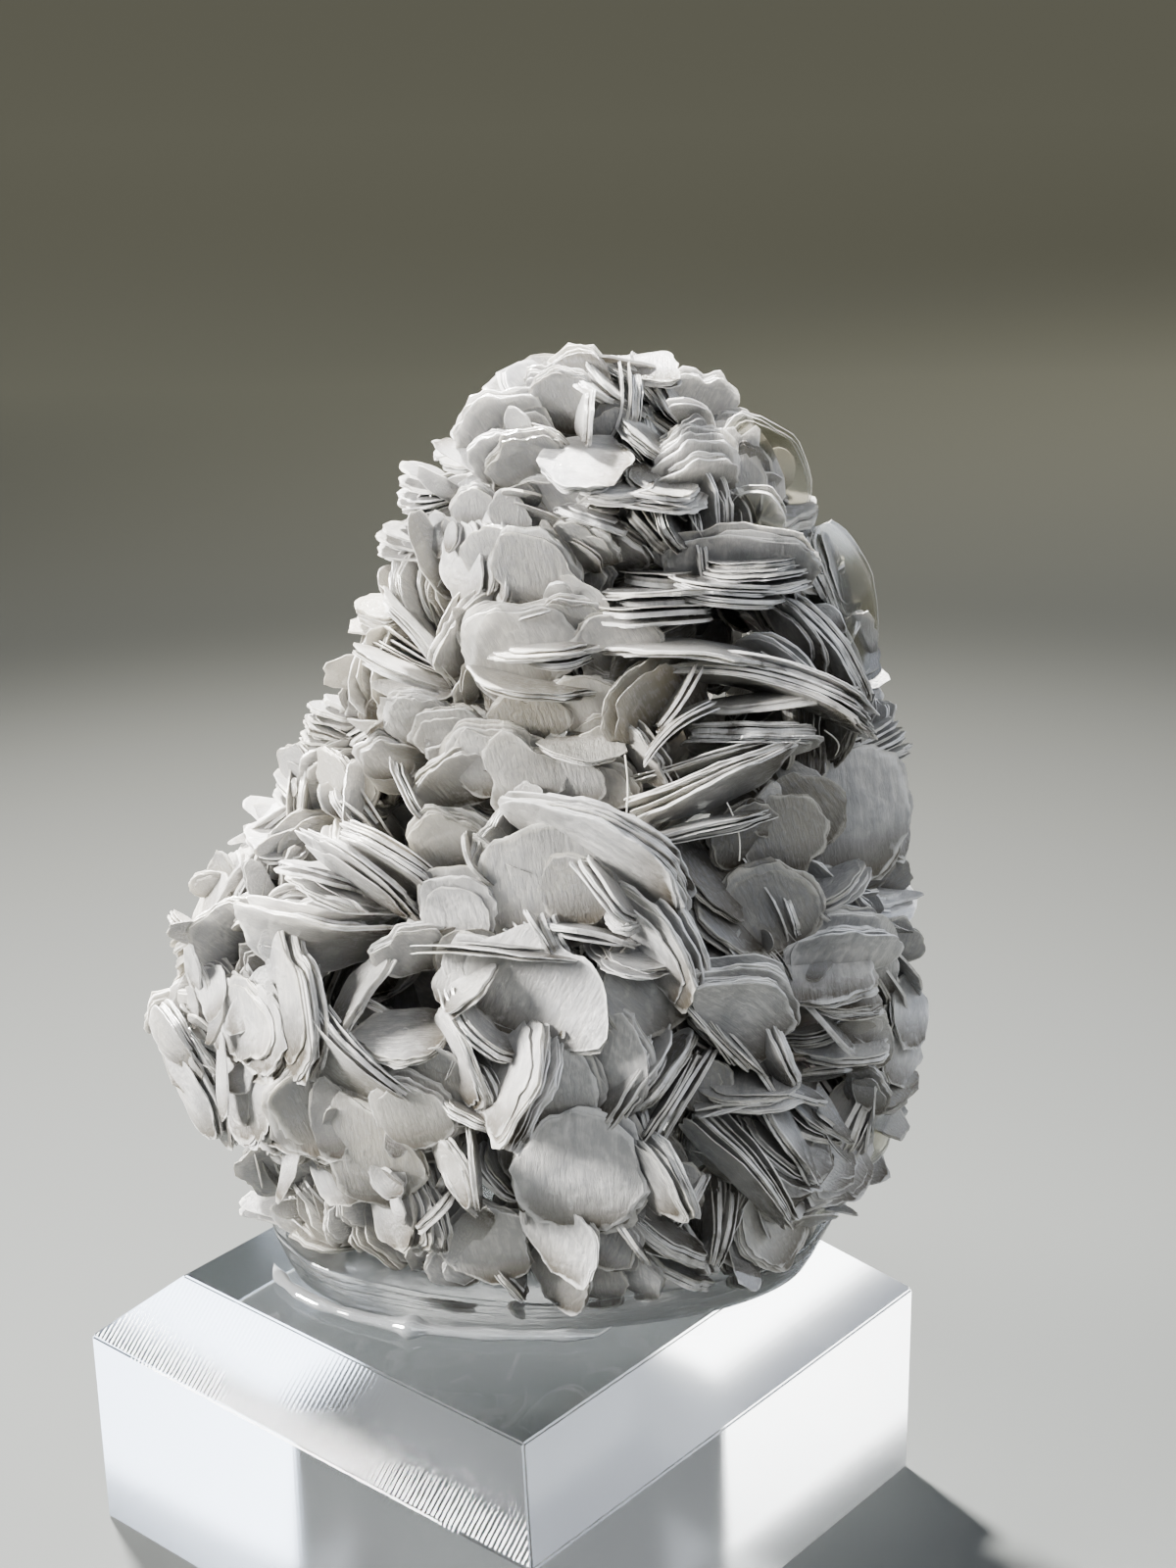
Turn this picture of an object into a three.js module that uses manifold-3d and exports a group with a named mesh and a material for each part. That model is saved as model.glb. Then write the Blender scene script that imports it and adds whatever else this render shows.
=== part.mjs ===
// A silvery mica cluster with its lower end cast in a clear resin foot, fixed on a clear acrylic
// block with a bevelled top edge. Millimetres, +Z up, origin at the centre of the block's underside.
import * as THREE from "three";
import { mergeVertices } from "three/addons/utils/BufferGeometryUtils.js";
import { ParametricGeometry } from "three/addons/geometries/ParametricGeometry.js";
import Module from "manifold-3d";

const wasm = await Module();
wasm.setup();

const GAP = 0.3; // room between pieces that touch

const BLOCK_WIDTH = 38;
const BLOCK_HEIGHT = 18;
const BEVEL_INSET = 4.4;
const BEVEL_DROP = 4.1;

// The specimen has a frame of its own: x to the right of its wide side, -y to its front and z up from
// the block's top face. Its wide side faces the block's front right corner.
const SPECIMEN_TURN = THREE.MathUtils.degToRad(40.7);

// Sections of the crystals' grown-together body from its seat to its crown:
// height, left edge, right edge, front edge, back edge.
const BODY_SECTIONS = [
  [1.6, -11.6, 17.8, -6.6, 7.0],
  [4.2, -12.2, 19.8, -8.4, 8.8],
  [8.5, -14.4, 22.4, -11.0, 10.8],
  [13, -17.2, 23.8, -12.6, 11.8],
  [18, -19.2, 24.4, -12.8, 12.2],
  [23, -18.4, 24.0, -11.8, 12.0],
  [28, -14.8, 23.2, -10.4, 11.4],
  [33, -10.2, 22.6, -9.2, 10.8],
  [38, -6.6, 21.6, -8.2, 10.2],
  [43, -4.4, 20.4, -7.2, 9.4],
  [48, -3.2, 18.2, -6.0, 8.4],
  [52.5, -1.2, 15.2, -4.4, 6.8],
  [55.4, 1.6, 11.6, -2.4, 4.6],
];
const BODY_TOP = [6.8, 1.0, 56.6]; // the body's highest point
const BODY_SIDES = 20;

// Six-sided books of mica plates stand out of the body all round.
const BOOK_ROWS = [7.5, 13, 18.5, 24, 29.5, 35, 40.5, 46, 51];
const BOOK_PITCH = 8.6; // along a row
const BOOK_RADIUS = 4.8;
const BOOK_THICKNESS = 1.5;
const BOOK_REACH = 2.6; // how far a book's rim stands out of the body
const CROWN_BOOKS = 5;

const FOOT_CENTRE_X = 3;
const FOOT_HEIGHT = 3.6;
const FOOT_BOTTOM = { halfWidth: 16.8, halfDepth: 9.0 };
const FOOT_TOP = { halfWidth: 18.2, halfDepth: 10.6 };
const FOOT_SIDES = 32;

const BEAD_RADIUS = 0.6;
const BEAD_SIDES = 8;
const BEAD_STEPS = 20;
const BEAD_REACH = 0.2; // how far past its gap to the foot the bead's middle line lies

// A number from 0 to 1 that is the same on every run, one after another.
let seed = 20;
function chance() {
  seed = (seed * 1664525 + 1013904223) % 4294967296;
  return seed / 4294967296;
}

function spread(amount) {
  return (chance() * 2 - 1) * amount;
}

// A closed mesh geometry as a manifold-3d solid.
function solidOf(geometry) {
  const bare = geometry.clone();
  bare.deleteAttribute("normal");
  bare.deleteAttribute("uv");
  const merged = mergeVertices(bare, 1e-4);
  return new wasm.Manifold(
    new wasm.Mesh({
      numProp: 3,
      vertProperties: new Float32Array(merged.attributes.position.array),
      triVerts: new Uint32Array(merged.index.array),
    }),
  );
}

// A manifold-3d solid as a mesh geometry.
function geometryOf(solid) {
  const mesh = solid.getMesh();
  const geometry = new THREE.BufferGeometry();
  geometry.setAttribute("position", new THREE.BufferAttribute(mesh.vertProperties, 3));
  geometry.setIndex(new THREE.BufferAttribute(mesh.triVerts, 1));
  geometry.computeVertexNormals();
  return geometry;
}

// A closed lofted geometry through level oval rings, from its lowest ring to its highest.
function loftGeometry(rings, sides) {
  const last = rings.length - 1;
  return new ParametricGeometry(
    (along, around, target) => {
      const ring = rings[Math.round(along * last)];
      const angle = -around * 2 * Math.PI;
      target.set(
        ring.x + ring.halfWidth * Math.cos(angle),
        ring.y + ring.halfDepth * Math.sin(angle),
        ring.z,
      );
    },
    last,
    sides,
  );
}

function ringOfSection([z, left, right, front, back], extra) {
  return {
    x: (left + right) / 2,
    y: (front + back) / 2,
    z,
    halfWidth: (right - left) / 2 + extra,
    halfDepth: (back - front) / 2 + extra,
  };
}

function pointRing(x, y, z) {
  return { x, y, z, halfWidth: 0, halfDepth: 0 };
}

// The grown-together body, larger all round by extra.
function bodySolid(extra) {
  const rings = BODY_SECTIONS.map((section) => ringOfSection(section, extra));
  const low = rings[0];
  low.z -= extra;
  rings.unshift(pointRing(low.x, low.y, low.z));
  rings.push(pointRing(BODY_TOP[0], BODY_TOP[1], BODY_TOP[2] + extra));
  return solidOf(loftGeometry(rings, BODY_SIDES));
}

// The foot's outer shape, larger all round by extra.
function footSolid(extra) {
  const bottom = GAP - extra;
  const top = FOOT_HEIGHT + extra;
  const oval = (z, size) => ({
    x: FOOT_CENTRE_X,
    y: 0,
    z,
    halfWidth: size.halfWidth + extra,
    halfDepth: size.halfDepth + extra,
  });
  const rings = [
    pointRing(FOOT_CENTRE_X, 0, bottom),
    oval(bottom, FOOT_BOTTOM),
    oval(top, FOOT_TOP),
    pointRing(FOOT_CENTRE_X, 0, top),
  ];
  return solidOf(loftGeometry(rings, FOOT_SIDES));
}

// The body's section at a height, between the sections given.
function sectionAt(z) {
  const above = BODY_SECTIONS.findIndex((section) => section[0] > z);
  const [low, high] = [BODY_SECTIONS[above - 1], BODY_SECTIONS[above]];
  const share = (z - low[0]) / (high[0] - low[0]);
  return low.map((value, i) => value + share * (high[i] - value));
}

// One book, standing out of the body at a root, with its flat side turned any way round.
function bookSolid(root, outward) {
  const radius = BOOK_RADIUS * (1 + spread(0.18));
  const book = new THREE.CylinderGeometry(radius, radius, BOOK_THICKNESS, 6);
  book.rotateY(spread(Math.PI));
  const anyWay = new THREE.Vector3(spread(1), spread(1), spread(1));
  const normal = anyWay.cross(outward).normalize();
  const turn = new THREE.Quaternion().setFromUnitVectors(new THREE.Vector3(0, 1, 0), normal);
  book.applyQuaternion(turn);
  const centre = root.clone().addScaledVector(outward, BOOK_REACH - radius);
  book.translate(centre.x, centre.y, centre.z);
  return solidOf(book);
}

function rowOfBooks(z, row) {
  const ring = ringOfSection(sectionAt(z), 0);
  const count = Math.round((Math.PI * (ring.halfWidth + ring.halfDepth)) / BOOK_PITCH);
  return Array.from({ length: count }, (_, i) => {
    const angle = (2 * Math.PI * (i + 0.5 * (row % 2) + spread(0.2))) / count;
    const root = new THREE.Vector3(
      ring.x + ring.halfWidth * Math.cos(angle),
      ring.y + ring.halfDepth * Math.sin(angle),
      z + spread(1),
    );
    const outward = new THREE.Vector3(
      Math.cos(angle) / ring.halfWidth,
      Math.sin(angle) / ring.halfDepth,
      0,
    );
    outward.normalize().setZ(spread(0.35)).normalize();
    return bookSolid(root, outward);
  });
}

function crownOfBooks() {
  return Array.from({ length: CROWN_BOOKS }, (_, i) => {
    const angle = (2 * Math.PI * i) / CROWN_BOOKS;
    const outward = new THREE.Vector3(Math.cos(angle), Math.sin(angle), 2).normalize();
    const root = new THREE.Vector3(...BODY_TOP);
    root.x += 3 * Math.cos(angle);
    return bookSolid(root, outward);
  });
}

// The largest skin of a solid: small voids closed in where books cross are filled, and crumbs go.
function largestSkin(solid) {
  return solid.decompose().reduce((a, b) => (a.volume() > b.volume() ? a : b));
}

function clusterGeometry() {
  const books = [...BOOK_ROWS.flatMap(rowOfBooks), ...crownOfBooks()];
  const joined = books.reduce((all, book) => all.add(book));
  const clearOfFoot = joined.subtract(footSolid(GAP));
  return geometryOf(largestSkin(bodySolid(0).add(clearOfFoot)));
}

function footGeometry() {
  return geometryOf(footSolid(0).subtract(bodySolid(GAP)));
}

// The bead's middle line: round the foot's front left edge, then straight off it as a tail.
function beadPath() {
  const offset = GAP + BEAD_RADIUS + BEAD_REACH;
  const height = GAP + BEAD_RADIUS;
  const points = [186, 198, 210, 222, 234, 246, 258, 268].map((degrees) => {
    const angle = THREE.MathUtils.degToRad(degrees);
    return new THREE.Vector3(
      FOOT_CENTRE_X + (FOOT_BOTTOM.halfWidth + offset) * Math.cos(angle),
      (FOOT_BOTTOM.halfDepth + offset) * Math.sin(angle),
      height,
    );
  });
  const end = points[points.length - 1];
  points.push(new THREE.Vector3(end.x + 3, end.y - 0.1, height));
  return new THREE.CatmullRomCurve3(points);
}

function beadGeometry() {
  const section = new THREE.Shape();
  section.absarc(0, 0, BEAD_RADIUS, 0, 2 * Math.PI, false);
  return new THREE.ExtrudeGeometry(section, {
    steps: BEAD_STEPS,
    curveSegments: BEAD_SIDES / 2,
    bevelEnabled: false,
    extrudePath: beadPath(),
  });
}

// A square block with its top edge bevelled: a four-sided turning with its flats to the axes.
function blockGeometry() {
  const toCorner = Math.SQRT2;
  const half = BLOCK_WIDTH / 2;
  const profile = [
    new THREE.Vector2(0, 0),
    new THREE.Vector2(half * toCorner, 0),
    new THREE.Vector2(half * toCorner, BLOCK_HEIGHT - BEVEL_DROP),
    new THREE.Vector2((half - BEVEL_INSET) * toCorner, BLOCK_HEIGHT),
    new THREE.Vector2(0, BLOCK_HEIGHT),
  ];
  const block = new THREE.LatheGeometry(profile, 4, Math.PI / 4);
  block.rotateX(Math.PI / 2);
  return block;
}

function namedMesh(name, geometry, look) {
  const mesh = new THREE.Mesh(geometry, new THREE.MeshStandardMaterial(look));
  mesh.name = name;
  return mesh;
}

const clearResin = { color: 0xdfe3e6, roughness: 0.08, metalness: 0, transparent: true, opacity: 0.4 };
const clearAcrylic = { color: 0xf2f6fa, roughness: 0.02, metalness: 0, transparent: true, opacity: 0.35 };
const silveryMica = { color: 0xc9c6be, roughness: 0.42, metalness: 0 };

const specimen = new THREE.Group();
specimen.position.z = BLOCK_HEIGHT;
specimen.rotation.z = SPECIMEN_TURN;
specimen.add(namedMesh("mica_cluster", clusterGeometry(), silveryMica));
specimen.add(namedMesh("resin_foot", footGeometry(), clearResin));
specimen.add(namedMesh("glue_bead", beadGeometry(), clearResin));

const part = new THREE.Group();
part.add(namedMesh("acrylic_block", blockGeometry(), clearAcrylic));
part.add(specimen);

export default part;
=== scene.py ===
# A silvery mica cluster, its foot cast in clear resin, on a clear bevelled acrylic block.
import math

import bmesh
import bpy
import numpy as np
from mathutils import Matrix, Vector


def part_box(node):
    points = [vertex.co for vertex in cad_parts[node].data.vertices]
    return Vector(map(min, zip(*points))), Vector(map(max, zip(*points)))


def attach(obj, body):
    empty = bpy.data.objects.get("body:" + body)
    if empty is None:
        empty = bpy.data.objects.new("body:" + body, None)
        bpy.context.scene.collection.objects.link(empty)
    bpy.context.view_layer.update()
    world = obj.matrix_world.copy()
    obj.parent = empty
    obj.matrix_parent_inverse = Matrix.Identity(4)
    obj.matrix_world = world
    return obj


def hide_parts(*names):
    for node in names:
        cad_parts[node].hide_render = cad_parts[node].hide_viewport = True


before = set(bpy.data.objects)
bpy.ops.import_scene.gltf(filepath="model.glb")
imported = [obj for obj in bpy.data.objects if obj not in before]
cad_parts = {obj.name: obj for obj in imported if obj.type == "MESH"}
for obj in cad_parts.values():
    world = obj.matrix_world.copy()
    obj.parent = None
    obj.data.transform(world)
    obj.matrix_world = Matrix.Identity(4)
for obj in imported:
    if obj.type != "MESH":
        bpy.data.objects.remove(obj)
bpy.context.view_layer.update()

MM = 0.001


# ---- Camera ----
# The view that the specimen is shown in: a short lens at arm's length, a little above it, looking at
# the block's front corner. The books further down are placed as seen from here.

BLOCK_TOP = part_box("acrylic_block")[1][2]
SPECIMEN_TURN = math.radians(40.7)
CAMERA_ELEVATION = math.radians(20.8)
CAMERA_ROLL = math.radians(-0.95)
CAMERA_DISTANCE = 170.8
CAMERA_SHIFT = (5.39, 30.68)
TURN = np.array([[math.cos(SPECIMEN_TURN), -math.sin(SPECIMEN_TURN), 0],
                 [math.sin(SPECIMEN_TURN), math.cos(SPECIMEN_TURN), 0],
                 [0, 0, 1]])
BACK = np.array([0, -math.cos(CAMERA_ELEVATION), math.sin(CAMERA_ELEVATION)])
level_up = np.array([0, math.sin(CAMERA_ELEVATION), math.cos(CAMERA_ELEVATION)])
RIGHT = np.array([math.cos(CAMERA_ROLL), 0, 0]) + math.sin(CAMERA_ROLL) * level_up
UP = math.cos(CAMERA_ROLL) * level_up - np.array([math.sin(CAMERA_ROLL), 0, 0])
EYE = BACK * CAMERA_DISTANCE + RIGHT * CAMERA_SHIFT[0] + UP * CAMERA_SHIFT[1]


def placed(points):
    """Points in mm in the specimen's own frame (x right, -y front, z up from the block) as row points."""
    return np.asarray(points) @ TURN.T * MM + np.array([0, 0, BLOCK_TOP])


camera_data = bpy.data.cameras.new("camera")
camera_data.sensor_width = 36
camera_data.lens = 60.5
camera_data.clip_start = 0.005
camera = bpy.data.objects.new("camera", camera_data)
bpy.context.scene.collection.objects.link(camera)
camera.matrix_world = (Matrix.Translation(placed(EYE))
                       @ Matrix(np.stack([TURN @ RIGHT, TURN @ UP, TURN @ BACK], 1)).to_4x4())
bpy.context.scene.camera = camera


# ---- Acrylic block ----
# The real piece is a stock specimen base: a square of cast acrylic, sawn, its top edge milled to a
# wide bevel and its faces polished until it is as clear as water. It stands loose on its underside.

def linear(hex_colour):
    """An sRGB hex colour as linear RGBA."""
    channels = [int(hex_colour[i:i + 2], 16) / 255 for i in (1, 3, 5)]
    return [c / 12.92 if c <= 0.04045 else ((c + 0.055) / 1.055) ** 2.4 for c in channels] + [1.0]


def new_material(name):
    """A material with its node tree emptied but for the output."""
    material = bpy.data.materials.new(name)
    material.use_nodes = True
    tree = material.node_tree
    tree.nodes.clear()
    return material, tree, tree.nodes.new("ShaderNodeOutputMaterial")


def add_node(tree, kind, settings=None, **links):
    """One node: settings go on its properties or its sockets, links are sockets that feed it."""
    node = tree.nodes.new(kind)
    for key, value in (settings or {}).items():
        if isinstance(key, int) or key in node.inputs:
            node.inputs[key].default_value = value
        else:
            setattr(node, key, value)
    for key, source in links.items():
        name = key.replace("_", " ")
        target = node.inputs[int(key[1:])] if key[0] == "i" and key[1:].isdigit() else node.inputs[name]
        tree.links.new(source, target)
    return node


def add_piece(name, mesh, body="root"):
    """A mesh as an object that rides on a CAD body."""
    piece = bpy.data.objects.new(name, mesh)
    bpy.context.scene.collection.objects.link(piece)
    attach(piece, body)
    return piece


block_low, block_high = (Vector(c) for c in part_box("acrylic_block"))
BLOCK_BEVEL_INSET = 4.4 * MM
BLOCK_BEVEL_DROP = 4.1 * MM
BLOCK_EDGE_BREAK = 0.12 * MM  # the hand-broken edge between two polished faces


def block_mesh():
    """The block with its bevelled top and every edge a little broken."""
    shape = bmesh.new()
    inset = BLOCK_BEVEL_INSET
    levels = [(block_low.z, 0), (block_high.z - BLOCK_BEVEL_DROP, 0), (block_high.z, inset)]
    loops = []
    for z, i in levels:
        corners = [(block_low.x + i, block_low.y + i), (block_high.x - i, block_low.y + i),
                   (block_high.x - i, block_high.y - i), (block_low.x + i, block_high.y - i)]
        loops.append([shape.verts.new((x, y, z)) for x, y in corners])
    for low, high in zip(loops, loops[1:]):
        for i in range(4):
            j = (i + 1) % 4
            shape.faces.new((low[i], low[j], high[j], high[i]))
    shape.faces.new(reversed(loops[0]))
    shape.faces.new(loops[-1])
    bmesh.ops.bevel(shape, geom=shape.edges[:], offset=BLOCK_EDGE_BREAK, segments=2, affect="EDGES")
    shape.normal_update()
    for face in shape.faces:
        if face.normal.z < -0.99:
            face.material_index = 1
        elif face.normal.z > 0.3 and face.normal.y < -0.3 and face.calc_area() > BLOCK_BEVEL_DROP ** 2:
            face.material_index = 2
    mesh = bpy.data.meshes.new("acrylic_block_polished")
    shape.to_mesh(mesh)
    shape.free()
    return mesh


def acrylic_material(name, roughness, line_depth):
    # Cast acrylic: clear, with a faint blue cast in its depth. Polished, it is a mirror-smooth skin; the
    # ground underside turns milky and spreads the light, and the milled bevel keeps fine parallel lines.
    material, tree, output = new_material(name)
    place = add_node(tree, "ShaderNodeTexCoord")
    lines = add_node(tree, "ShaderNodeTexWave", {"Scale": 900.0, "Distortion": 0.3, "Detail": 2.0},
                     Vector=place.outputs["Object"])
    bump = add_node(tree, "ShaderNodeBump", {"Strength": line_depth, "Distance": 0.00002},
                    Height=lines.outputs["Fac"])
    skin = add_node(tree, "ShaderNodeBsdfPrincipled", {
        "Base Color": linear("#f4f9fc"), "Roughness": roughness, "IOR": 1.49, "Transmission Weight": 1.0},
        Normal=bump.outputs["Normal"])
    tree.links.new(skin.outputs[0], output.inputs["Surface"])
    return material


block = add_piece("acrylic_block_polished", block_mesh())
block.data.materials.append(acrylic_material("cast_acrylic_polished", 0.015, 0.02))
block.data.materials.append(acrylic_material("cast_acrylic_ground", 0.14, 0.0))
block.data.materials.append(acrylic_material("cast_acrylic_milled", 0.05, 0.4))
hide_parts("acrylic_block")


# ---- Resin foot ----
# The real piece is clear casting resin, poured round the lower end of the cluster in a shallow oval
# and set hard: glassy, a little wavy, with flow streaks where it crept up between the plates.

def loft_mesh(name, rings):
    """A closed mesh through rings of points of equal count, lowest first, capped at both ends."""
    count = len(rings[0])
    points = [p for ring in rings for p in ring]
    faces = []
    for level in range(len(rings) - 1):
        for i in range(count):
            j = (i + 1) % count
            low, high = level * count, (level + 1) * count
            faces.append((low + i, low + j, high + j, high + i))
    points += [np.mean(rings[0], axis=0), np.mean(rings[-1], axis=0)]
    first, last, top = len(points) - 2, len(points) - 1, (len(rings) - 1) * count
    for i in range(count):
        j = (i + 1) % count
        faces.append((first, j, i))
        faces.append((last, top + i, top + j))
    mesh = bpy.data.meshes.new(name)
    mesh.from_pydata([tuple(p) for p in placed(points)], [], faces)
    mesh.polygons.foreach_set("use_smooth", [True] * len(faces))
    return mesh


# Sizes in mm in the specimen's own frame.
FOOT_CENTRE_X = 3
FOOT_HALF_WIDTH = 16.6
FOOT_HALF_DEPTH = 8.9
FOOT_HEIGHT = 3.4
# The wall's profile: share of its height, and how far it swells there.
FOOT_PROFILE = [(0, -0.5), (0.04, 0.0), (0.3, 0.35), (0.6, 0.55), (0.85, 0.7), (0.97, 0.6), (1.0, 0.2)]


def foot_rings():
    """The foot's outline from the block upwards, uneven as it set."""
    rings = []
    angles = np.linspace(0, 2 * math.pi, 144, endpoint=False)
    wave = 0.25 * np.sin(3 * angles + 1) + 0.15 * np.sin(7 * angles) + 0.08 * np.sin(13 * angles + 2)
    rise = FOOT_HEIGHT + 0.25 * np.sin(2 * angles + 0.5)
    for share, out in FOOT_PROFILE:
        x = FOOT_CENTRE_X + (FOOT_HALF_WIDTH + 1.3 * share + out * 0.5 + wave * share) * np.cos(angles)
        y = (FOOT_HALF_DEPTH + 1.4 * share + out * 0.5 + wave * share) * np.sin(angles)
        rings.append(np.stack([x, y, 0.02 + share * rise], 1))
    return rings


def resin_material():
    # Set casting resin: glassy but a little hazy and grey, with long flow streaks that bend the light.
    material, tree, output = new_material("casting_resin_set")
    place = add_node(tree, "ShaderNodeTexCoord")
    streak = add_node(tree, "ShaderNodeMapping", {"Scale": (90, 90, 900)}, Vector=place.outputs["Object"])
    flow = add_node(tree, "ShaderNodeTexNoise", {"Scale": 2.0, "Detail": 4.0}, Vector=streak.outputs[0])
    bump = add_node(tree, "ShaderNodeBump", {"Strength": 0.6, "Distance": 0.00025},
                    Height=flow.outputs[0])
    skin = add_node(tree, "ShaderNodeBsdfPrincipled", {
        "Base Color": linear("#e9ebeb"), "Roughness": 0.08, "IOR": 1.52, "Transmission Weight": 1.0},
        Normal=bump.outputs["Normal"])
    haze = add_node(tree, "ShaderNodeBsdfTranslucent", {"Color": linear("#b9bcbc")},
                    Normal=bump.outputs["Normal"])
    both = add_node(tree, "ShaderNodeMixShader", {0: 0.1}, i1=skin.outputs[0], i2=haze.outputs[0])
    tree.links.new(both.outputs[0], output.inputs["Surface"])
    return material


foot = add_piece("resin_foot_cast", loft_mesh("resin_foot_cast", foot_rings()))
foot.data.materials.append(resin_material())
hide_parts("resin_foot")


# ---- Glue bead ----
# The real piece is clear glue that squeezed out along the front left of the foot when it was set
# down: a lumpy cord lying on the block, with one knot, that runs out to a straight tail turned up at its end.

BEAD_RADIUS = 0.34
BEAD_HALF_WIDTH = 17.9
BEAD_HALF_DEPTH = 10.0
BEAD_LIFT = 0.45


def bead_mesh():
    """The cord of glue along the foot, with its lumps, its knot and its tail."""
    angles = np.radians(np.linspace(186, 266, 60))
    path = np.stack([FOOT_CENTRE_X + BEAD_HALF_WIDTH * np.cos(angles),
                     BEAD_HALF_DEPTH * np.sin(angles), BEAD_LIFT + 0 * angles], 1)
    tail = np.array([path[-1] + np.array([s, -0.02 * s, max(0, s - 4.2) * 0.7])
                     for s in np.linspace(0.3, 5.0, 20)])
    path = np.vstack([path, tail])
    along = np.gradient(path, axis=0)
    along /= np.linalg.norm(along, axis=1)[:, None]
    side = np.cross(along, [0, 0, 1])
    share = np.linspace(0, 1, len(path))
    lumps = 1 + 0.12 * np.sin(31 * share) + 0.08 * np.sin(67 * share + 1)
    knot = 1.3 * np.exp(-((share - 0.52) / 0.024) ** 2)
    radius = BEAD_RADIUS * (lumps + knot) * np.clip(share * 12, 0.1, 1) * np.clip((1 - share) * 9, 0.3, 1)
    rings = []
    turn = np.linspace(0, 2 * math.pi, 14, endpoint=False)
    for p, s, r in zip(path, side, radius):
        rings.append([p + s * r * 1.3 * math.cos(a) + np.array([0, 0, r * math.sin(a)]) for a in turn])
    return loft_mesh("glue_bead_set", rings)


def glue_material():
    # Set clear glue: very smooth and rounded, with fine bubbles that make it look silvery.
    material, tree, output = new_material("clear_glue_set")
    skin = add_node(tree, "ShaderNodeBsdfPrincipled", {
        "Base Color": linear("#f6f8f9"), "Roughness": 0.02, "IOR": 1.5, "Transmission Weight": 1.0})
    bubbles = add_node(tree, "ShaderNodeBsdfDiffuse", {"Color": linear("#dfe2e4")})
    both = add_node(tree, "ShaderNodeMixShader", {0: 0.13}, i1=skin.outputs[0], i2=bubbles.outputs[0])
    tree.links.new(both.outputs[0], output.inputs["Surface"])
    return material


bead = add_piece("glue_bead_set", bead_mesh())
bead.data.materials.append(glue_material())
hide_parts("glue_bead")


# ---- Mica plates ----
# The real piece is a natural growth of muscovite mica: hundreds of thin round-cornered plates,
# grown in books that open like fans and crowd into rosettes. Nothing is worked or polished.

# Sections of the grown-together body: height, left, right, front, back, in mm.
SECTIONS = np.array([
    [1.6, -11.6, 17.8, -6.6, 7.0],
    [4.2, -12.2, 19.8, -8.4, 8.8],
    [8.5, -14.4, 22.4, -11.0, 10.8],
    [13, -17.2, 23.8, -12.6, 11.8],
    [18, -19.2, 24.4, -12.8, 12.2],
    [23, -18.4, 24.0, -11.8, 12.0],
    [28, -14.8, 23.2, -10.4, 11.4],
    [33, -10.2, 22.6, -9.2, 10.8],
    [38, -6.6, 21.6, -8.2, 10.2],
    [43, -4.4, 20.4, -7.2, 9.4],
    [48, -3.2, 18.2, -6.0, 8.4],
    [52.5, -1.2, 15.2, -4.4, 6.8],
    [55.4, 1.6, 11.6, -2.4, 4.6],
    [56.8, 5.0, 8.5, -0.5, 2.5],
])

# The books that show in front, by region. Each row is one book of leaves, measured in the front view:
# mm right of and above the line of sight, radius in mm, length against width, facing (0 face-on, 90
# edge-on), the way its face leans, the way its tip points (0 right, 90 up), leaves, mm proud of the
# body, tone (0 brown, 1 white) and, for an open fan, the degrees between leaves.
CROWN_BOOKS = [
    (-5.4, 22.9, 2.9, 1.0, 35, 200, 120, 7, 0.0, 0.7),
    (-5.7, 21.0, 1.9, 1.0, 35, 200, 120, 5, 0.6, 0.8),
    (-4.1, 21.0, 2.2, 1.0, 38, 200, 115, 6, 0.9, 0.75),
    (-2.9, 25.1, 1.7, 1.1, 40, 180, 100, 5, 0.0, 0.8),
    (-1.5, 24.7, 2.0, 1.1, 35, 180, 100, 5, 0.5, 0.6),
    (0.1, 26.1, 2.3, 1.0, 80, 60, 150, 6, 0.0, 0.9),
    (1.8, 25.8, 2.3, 1.0, 80, 46, 136, 6, 0.2, 0.9),
    (2.7, 26.3, 1.9, 1.0, 80, 50, 140, 5, 0.1, 0.95),
    (3.8, 25.9, 2.2, 1.0, 78, 36, 126, 6, 0.1, 0.9),
    (-0.3, 23.7, 1.6, 1.0, 80, 175, 90, 4, 0.8, 1.0),
    (2.9, 25.1, 1.6, 1.0, 75, 170, 80, 5, 0.5, 0.9),
    (3.6, 22.3, 1.6, 1.0, 75, 52, 142, 5, 0.3, 1.0),
    (1.4, 23.2, 1.5, 1.0, 30, 200, 90, 4, -0.5, 0.5),
    (-0.3, 20.5, 2.7, 0.9, 58, 90, 150, 6, 1.4, 0.95),
    (0.3, 17.3, 2.4, 1.0, 78, 71, 180, 6, 0.8, 0.9),
    (2.2, 19.0, 2.2, 1.0, 78, 96, 180, 5, 0.6, 0.9),
    (-10.1, 18.8, 2.0, 1.0, 78, 90, 180, 9, 0.0, 0.85, 3.0),
    (-7.3, 18.1, 1.5, 1.0, 30, 180, 90, 5, 0.8, 0.7),
    (-8.1, 20.9, 1.4, 1.0, 70, 110, 170, 6, 0.0, 0.8),
    (-10.8, 15.7, 2.4, 1.0, 72, 90, 180, 10, 0.2, 0.85, 2.0),
    (3.5, 26.8, 2.3, 0.8, 68, 90, 90, 5, -0.3, 0.95),
    (7.1, 24.9, 2.0, 1.15, 40, 15, 75, 7, 0.2, 0.9),
    (5.2, 25.1, 2.0, 1.0, 78, 39, 129, 6, 0.2, 0.9),
    (6.9, 21.3, 2.3, 0.9, 32, 90, 95, 12, 0.8, 0.95, 3.5),
    (4.3, 18.6, 3.1, 0.8, 78, 90, 270, 6, 0.8, 0.85),
    (5.0, 17.0, 1.9, 1.0, 80, 25, 115, 4, 0.6, 0.8),
    (8.6, 17.3, 1.5, 1.0, 75, 190, 100, 4, 0.4, 0.9),
    (9.5, 23.2, 1.2, 1.0, 30, 90, 90, 4, -0.2, 0.9),
]
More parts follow.
